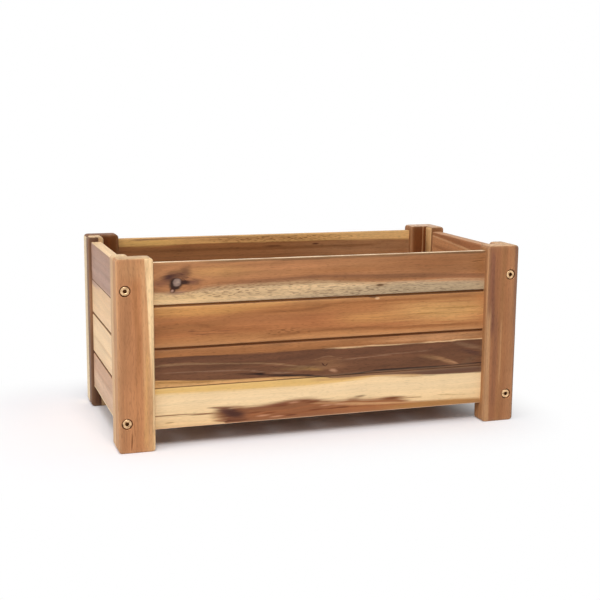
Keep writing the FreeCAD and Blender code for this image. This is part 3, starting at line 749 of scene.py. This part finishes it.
# End panels: left and right walls of four short acacia boards, tongue and groove like the long ones, with
# the tight seam at the top. Their ends stand in grooves of the stiles.
END_AXES, END_TENON, END_SEAMS = (Y, Z, X), 5.0, (TIGHT_SEAM, OPEN_SEAM, OPEN_SEAM)
left_1 = dict(
    bands=((0, "#ac8875"), (0.3, "#b3907f"), (0.7, "#b08c78"), (1, "#ac8772")), contrast=0.8,
    marks=(
        ("line", ((-80, 168), (0, 171), (80, 169)), 2, 4, "#a2816e", 0.6),
        # Painted highlight: the top face is pale cream, for the sheen and the light from above
        ("above", 194.6, 0.15, "#f0cda0", 0.95)))
left_2 = dict(
    bands=((0, "#efca9f"), (0.5, "#eac598"), (0.85, "#e5be93"), (1, "#ddb68d")), contrast=0.6,
    marks=(
        ("spot", (75, 152, 70, 6, 0), 0.5, "#b3907f", 0.9),))
left_3 = dict(
    bands=((0, "#eac599"), (0.4, "#f2d2a6"), (1, "#eecba0")), contrast=0.6,
    marks=(
        ("line", ((-80, 85), (0, 87), (80, 86)), 2, 4, "#ddb587", 0.6),))
left_4 = dict(
    bands=((0, "#c29d7d"), (0.35, "#ddb999"), (0.7, "#cea585"), (1, "#c89d7d")), contrast=0.8,
    marks=(
        ("line", ((-80, 52), (0, 49), (80, 51)), 2, 4, "#b78c6e", 0.6),
        ("below", 26.2, 0.5, "#f6dcae", 0.9)))
right_1 = dict(
    bands=((0, "#cb8f62"), (0.4, "#cf9466"), (0.8, "#cb8f61"), (1, "#cf9566")),
    marks=(
        ("above", ((-80, 182.6), (-17, 186), (28, 188.7), (72, 191)), 0.9, "#a66b45", 0.85),
        ("line", ((-80, 178), (0, 176), (80, 179)), 2, 4, "#9f6842", 0.6),
        ("line", ((-60, 182.8), (-17, 184.8), (28, 187.5), (72, 189.9), (100, 191)), 0.9, 1.4, "#e0b083",
         0.75),
        # Painted highlight: the top face is paler, for the sheen and the light from above
        ("above", 194.6, 0.15, "#c2916a", 0.8)))
right_2 = dict(
    bands=((0, "#aa7549"), (0.4, "#b17e51"), (0.8, "#b98859"), (1, "#a77449")),
    marks=(
        ("line", ((-80, 131), (0, 129), (80, 132)), 2, 4, "#945f37", 0.6),))
right_3 = dict(
    bands=((0, "#65432d"), (0.4, "#6c4932"), (0.8, "#745038"), (1, "#976743")), contrast=1.2,
    marks=(
        ("line", ((-80, 90), (0, 88), (80, 92)), 2, 4, "#8a6549", 0.6),))
right_4 = dict(
    bands=((0, "#ddb887"), (0.4, "#e7c595"), (0.8, "#ebcc9d"), (1, "#e0bb89")), contrast=0.6,
    marks=(
        ("line", ((-80, 34), (0, 36), (80, 33)), 2, 4, "#b78759", 0.6),))
panel("left", END_AXES, END_TENON, END_SEAMS, (left_1, left_2, left_3, left_4), seed=40)
panel("right", END_AXES, END_TENON, END_SEAMS, (right_1, right_2, right_3, right_4), seed=50)

# Corner bolts and inserts: M6 hexagon socket bolts of yellow plated steel, sunk in the legs' pockets, and
# the zinc alloy inserts in the stiles that they thread into. The inserts keep their CAD shape.
BOLT_STEPS, RIM_STEPS = 48, 6
SOCKET_HALF, SOCKET_DEPTH, SOCKET_MOUTH, SOCKET_BEVEL = 2.0, 2.6, 2.6, 0.3
CROWN, DOME_SHARE, RIM_SHARE, RIM_ROUND = 0.35, 0.9, 0.6, 0.9
BOLT_SEAT, BOLT_SHANK, BOLT_TIP, TIP_BEVEL = 4.0, 3.0, 28.5, 0.8
# The recess colour is painted shade, laid deep in the socket and on the head's side down in the pocket
RECESS_LOW, RECESS_HIGH, RECESS_PAINTED_SHADE = 2.4, 1.0, "#4a2d18"
TARNISH_SPAN, TARNISH, POLISH, WEAR = (0.42, 0.68), 0.75, 0.06, 0.1


def socket_bolts(name, places, seed):
    """Bolts: an outline carried round each axis. Its r is constant, or h / cos(b) on the hexagon socket.

    There h is half the width across flats, and b the angle from the middle of the nearest flat. The outline
    runs from the socket's floor over the crowned and rounded head to the tip. Places are the heads' faces
    in mm, and a seeded angle turns each socket.
    """
    turn = np.linspace(0, np.pi / 2, RIM_STEPS)
    shoulder = BOLT_HEAD - RIM_ROUND
    rim = [(shoulder + RIM_ROUND * np.sin(t), RIM_ROUND * (1 - np.cos(t)) - RIM_SHARE * CROWN, 0)
           for t in turn]
    outline = [(SOCKET_HALF, SOCKET_DEPTH, 1), (SOCKET_HALF, SOCKET_BEVEL - CROWN, 1),
               (SOCKET_MOUTH, -CROWN, 0), ((SOCKET_MOUTH + shoulder) / 2, -DOME_SHARE * CROWN, 0), *rim,
               (BOLT_HEAD, BOLT_SEAT, 0), (BOLT_SHANK, BOLT_SEAT, 0),
               (BOLT_SHANK, BOLT_TIP - TIP_BEVEL, 0), (BOLT_SHANK - TIP_BEVEL, BOLT_TIP, 0)]
    radius, depth, flats = np.array(outline, float).T
    angle = np.linspace(0, 2 * np.pi, BOLT_STEPS, endpoint=False)
    spin = np.random.default_rng(seed).uniform(0, np.pi / 3, len(places))
    from_flat = (angle + np.pi / 6 - spin[:, None]) % (np.pi / 3) - np.pi / 6
    wide = radius[:, None] / np.where(flats[:, None] > 0, np.cos(from_flat)[:, None, :], 1)
    inward = -np.sign(places[:, Y])
    spots = np.empty((*wide.shape, 3))
    spots[..., X] = places[:, X, None, None] + wide * np.cos(angle)
    spots[..., Y] = places[:, Y, None, None] + (inward[:, None] * depth)[..., None]
    spots[..., Z] = places[:, Z, None, None] + wide * np.sin(angle)
    faces = []
    for number, side in enumerate(inward):
        first = number * len(outline) * BOLT_STEPS
        bolt = tube_faces(len(outline), BOLT_STEPS, -side)
        faces += [[first + point for point in face] for face in bolt]
    return new_piece(name, spots, faces)


def plated(name, colour, dark, roughness, grit, cloud_size, recess=None):
    """Plated metal: bright, with fine turning marks grit mm apart and clouds of tarnish.

    Recess is (low, high, colour): below low mm from the middle plane in Y, and fading up to high, the
    colour is laid on as painted shade in the socket and the pocket.
    """
    material = bpy.data.materials.new(name)
    add = partial(put, empty_tree(material))
    place = add("TexCoord", out="Object")
    cloud = add("TexNoise", {"Vector": place, "Scale": 1 / (cloud_size * MM), "Detail": 2.0})
    marks = add("TexNoise", {"Vector": place, "Scale": 1 / (grit * MM), "Detail": 1.0})
    cover = add("MapRange", (cloud, *TARNISH_SPAN, 0.0, TARNISH))
    tint = add("Mix", {0: cover, 6: linear(colour), 7: linear(dark)}, out=2, data_type="RGBA")
    if recess:
        deep = add("Math ABSOLUTE", (add("SeparateXYZ", (place,), out=Y),))
        # Painted shade: the metal turns to the recess colour with depth
        unshaded = add("MapRange", (deep, recess[0] * MM, recess[1] * MM))
        tint = add("Mix", {0: unshaded, 6: linear(recess[2]), 7: tint}, out=2, data_type="RGBA")
    rough = add("MapRange", (cloud, *NOISE_SPAN, roughness - POLISH, roughness + WEAR))
    bump = add("Bump", {"Strength": 0.15, "Distance": 0.05 * MM, "Height": marks})
    shader = add("BsdfPrincipled", {"Base Color": tint, "Metallic": 1.0, "Roughness": rough, "Normal": bump})
    add("OutputMaterial", (shader,))
    return material


def coat(node, material):
    """Lay a material on a CAD node that keeps its shape."""
    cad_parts[node].data.materials.clear()
    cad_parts[node].data.materials.append(material)


bolt_places = np.array([(side_x * (bolt_high[X] - BOLT_HEAD), side_y * bolt_high[Y], level)
                        for side_x in (-1, 1) for side_y in (-1, 1) for level in bolt_levels])
# Painted shade in the bolts' sockets and pockets
recess = (bolt_high[Y] - RECESS_LOW, bolt_high[Y] - RECESS_HIGH, RECESS_PAINTED_SHADE)
yellow_plate = plated("yellow_plated_steel", "#efc798", "#6f431f", 0.3, 0.3, 3.0, recess)
stand_in(socket_bolts("corner_bolt_set", bolt_places, seed=90), "corner_bolts", "crate", yellow_plate)
coat("insert_nuts", plated("die_cast_zinc_alloy", "#b9bbbf", "#8f9196", 0.42, 0.5, 6.0))

# Cleats: two square bars of acacia that run along the foot of the long panels inside and carry the floor.
# Each is fixed to the lowest board by four countersunk wood screws of bright zinc plate.
SCREW_HEAD, SCREW_RIM, SCREW_SHANK, SCREW_CONE, SCREW_HOLE = 3.6, 0.6, 1.85, 2.45, 20
CLEAT_AXES, CLEAT_EDGE, CLEAT_ENDS, CLEAT_SCREWS = (X, Z, Y), 1.0, (0.5, 0.5), 4
cleat_wood = dict(bands=((0, "#a8754f"), (0.4, "#b07c54"), (1, "#b98659")))
screw_low, screw_high = box_mm("cleat_screws")
screw_x = np.linspace(screw_low[X] + SCREW_HEAD, screw_high[X] - SCREW_HEAD, CLEAT_SCREWS)
hole = ((0, -BORE_OVERRUN), (SCREW_HEAD, -BORE_OVERRUN), (SCREW_HEAD, SCREW_RIM), (SCREW_SHANK, SCREW_CONE),
        (SCREW_SHANK, SCREW_HOLE), (0, SCREW_HOLE))
for number, (node, side) in enumerate((("front_cleat", -1), ("rear_cleat", 1))):
    low, high = box_mm(node)
    face = high[Y] if side < 0 else low[Y]
    level = (low[Z] + high[Z]) / 2
    cutters = [turned_cutter(hole, (x, face, level), Y, side) for x in screw_x]
    name = "cleat_" + node.removesuffix("_cleat")
    bar(name, node, "crate", CLEAT_AXES, CLEAT_EDGE, CLEAT_ENDS, 60 + number, cleat_wood, cutters)
zinc_plate = plated("bright_zinc_plated_steel", "#c9ccd1", "#9da1a8", 0.28, 0.3, 6.0)
for node in ("cleat_screws", "slat_screws"):
    coat(node, zinc_plate)

# Floor: eight acacia slats screwed from above to two battens. The floor lies loose on the cleats and lifts
# out in one piece, and the gaps between its slats let water drain.
SLATS, SLAT_AXES, SLAT_EDGE, SLAT_ENDS = 8, (Y, X, Z), 1.5, (0.6, 0.6)
SLAT_PITH, PITH_STEP = (20, 25), 4
BATTEN_AXES, BATTEN_EDGE = (X, Y, Z), 1.0
slat_bands = (((0, "#a8744e"), (0.4, "#b58158"), (0.8, "#bd8b5f"), (1, "#ab7950")),
              ((0, "#e4c092"), (0.5, "#ecca9b"), (0.8, "#dcb280"), (1, "#cf9f6c")),
              ((0, "#9c6547"), (0.4, "#a46b4c"), (0.8, "#ad7555"), (1, "#996247")))
batten_low, batten_high = box_mm("floor_rear_batten")
screw_y = (batten_low[Y] + batten_high[Y]) / 2
for number in range(SLATS):
    node = f"floor_slat_{number + 1}"
    low, high = box_mm(node)
    cutters = [turned_cutter(hole, ((low[X] + high[X]) / 2, y, high[Z]), Z, -1) for y in (-screw_y, screw_y)]
    pith = (SLAT_PITH[0], SLAT_PITH[1] + PITH_STEP * number)
    wood = dict(bands=slat_bands[number % len(slat_bands)], pith=pith)
    bar(f"slat_{number + 1}", node, "floor", SLAT_AXES, SLAT_EDGE, SLAT_ENDS, 70 + number, wood, cutters)
for number, side in enumerate(("front", "rear")):
    node = f"floor_{side}_batten"
    bar("batten_" + side, node, "floor", BATTEN_AXES, BATTEN_EDGE, CLEAT_ENDS, 80 + number, cleat_wood)

# Studio: a white paper floor that fades into a white room, a soft key lamp high in front, a weaker one at
# the left and one overhead, and the camera, whose place and lens were fitted to points of the photograph.
# Its sizes and places are in metres.
FLOOR_HALF = 6.0
PAPER = "#f1eff2"
SHADE_MIDDLE, SHADE_HALF, SHADE_FADE = (-0.055, 0.0, 0.0), (0.21, 0.085, 1.0), 0.15
WHITE, AMBIENT = (1, 1, 1, 1), 0.28


def seen(add):
    """1 on rays that show the floor or the room, straight or in a mirror or glass, and 0 on the others."""
    rays = add("LightPath").node.outputs
    eye = add("Math MAXIMUM", (rays["Is Camera Ray"], rays["Is Glossy Ray"]))
    return add("Math MAXIMUM", (eye, rays["Is Transmission Ray"]))


corners = np.array([(-1, -1, 0), (1, -1, 0), (1, 1, 0), (-1, 1, 0)])
floor = new_piece("studio_floor", corners * FLOOR_HALF / MM, [(0, 1, 2, 3)])
paper = bpy.data.materials.new("white_studio_paper")
add = partial(put, empty_tree(paper))
place = add("VectorMath SUBTRACT", (add("TexCoord", out="Object"), SHADE_MIDDLE))
place = add("VectorMath ABSOLUTE", (place,))
place = add("VectorMath SUBTRACT", (place, SHADE_HALF))
place = add("VectorMath MAXIMUM", (place, (0, 0, 0)))
far = add("VectorMath LENGTH", (place,), out="Value")
fade = add("MapRange", (far, 0.0, SHADE_FADE), interpolation_type="SMOOTHSTEP")
fade = add("Math MULTIPLY", (fade, seen(add)))
matte = add("BsdfDiffuse", {"Color": linear(PAPER)})
white = add("Emission", {"Color": WHITE, "Strength": 1.0})
add("OutputMaterial", (add("MixShader", (fade, matte, white)),))
floor.data.materials.append(paper)

world = bpy.data.worlds.new("white_room")
bpy.context.scene.world = world
add = partial(put, empty_tree(world))
level = add("MapRange", (seen(add), 0.0, 1.0, AMBIENT, 1.0))
add("OutputWorld", (add("Background", {"Color": WHITE, "Strength": level}),))

AIM = Vector((0, 0, 0.1))
softboxes = (("key_softbox", (-0.40, -1.49, 1.84), 0.85, 28.5), ("left_softbox", (-2.0, -0.9, 1.1), 1.4, 18),
             ("top_softbox", (-0.6, -0.2, 2.1), 1.6, 13.5))
for name, spot, width, watts in softboxes:
    lamp = bpy.data.lights.new(name, "AREA")
    lamp.shape = "SQUARE"
    lamp.size = width
    lamp.energy = watts
    softbox = bpy.data.objects.new(name, lamp)
    softbox.location = spot
    softbox.rotation_euler = (AIM - Vector(spot)).to_track_quat("-Z", "Y").to_euler()
    bpy.context.scene.collection.objects.link(softbox)

IMAGE_WIDTH, SENSOR_WIDTH, FOCAL_PIXELS = 600, 36.0, 1122.37
CAMERA_PLACE = (-0.401636, -1.214991, 0.354214)
AZIMUTH, DOWN, ROLL = 18.5685, 9.9338, 0.5004
lens = bpy.data.cameras.new("camera")
lens.sensor_width = SENSOR_WIDTH
lens.lens = SENSOR_WIDTH * FOCAL_PIXELS / IMAGE_WIDTH
camera = bpy.data.objects.new("camera", lens)
turn = Matrix.Rotation(np.radians(-AZIMUTH), 4, "Z") @ Matrix.Rotation(np.radians(90 - DOWN), 4, "X")
camera.matrix_world = Matrix.Translation(CAMERA_PLACE) @ turn @ Matrix.Rotation(np.radians(ROLL), 4, "Z")
bpy.context.scene.collection.objects.link(camera)
bpy.context.scene.camera = camera
bpy.context.scene.view_settings.view_transform = "Standard"
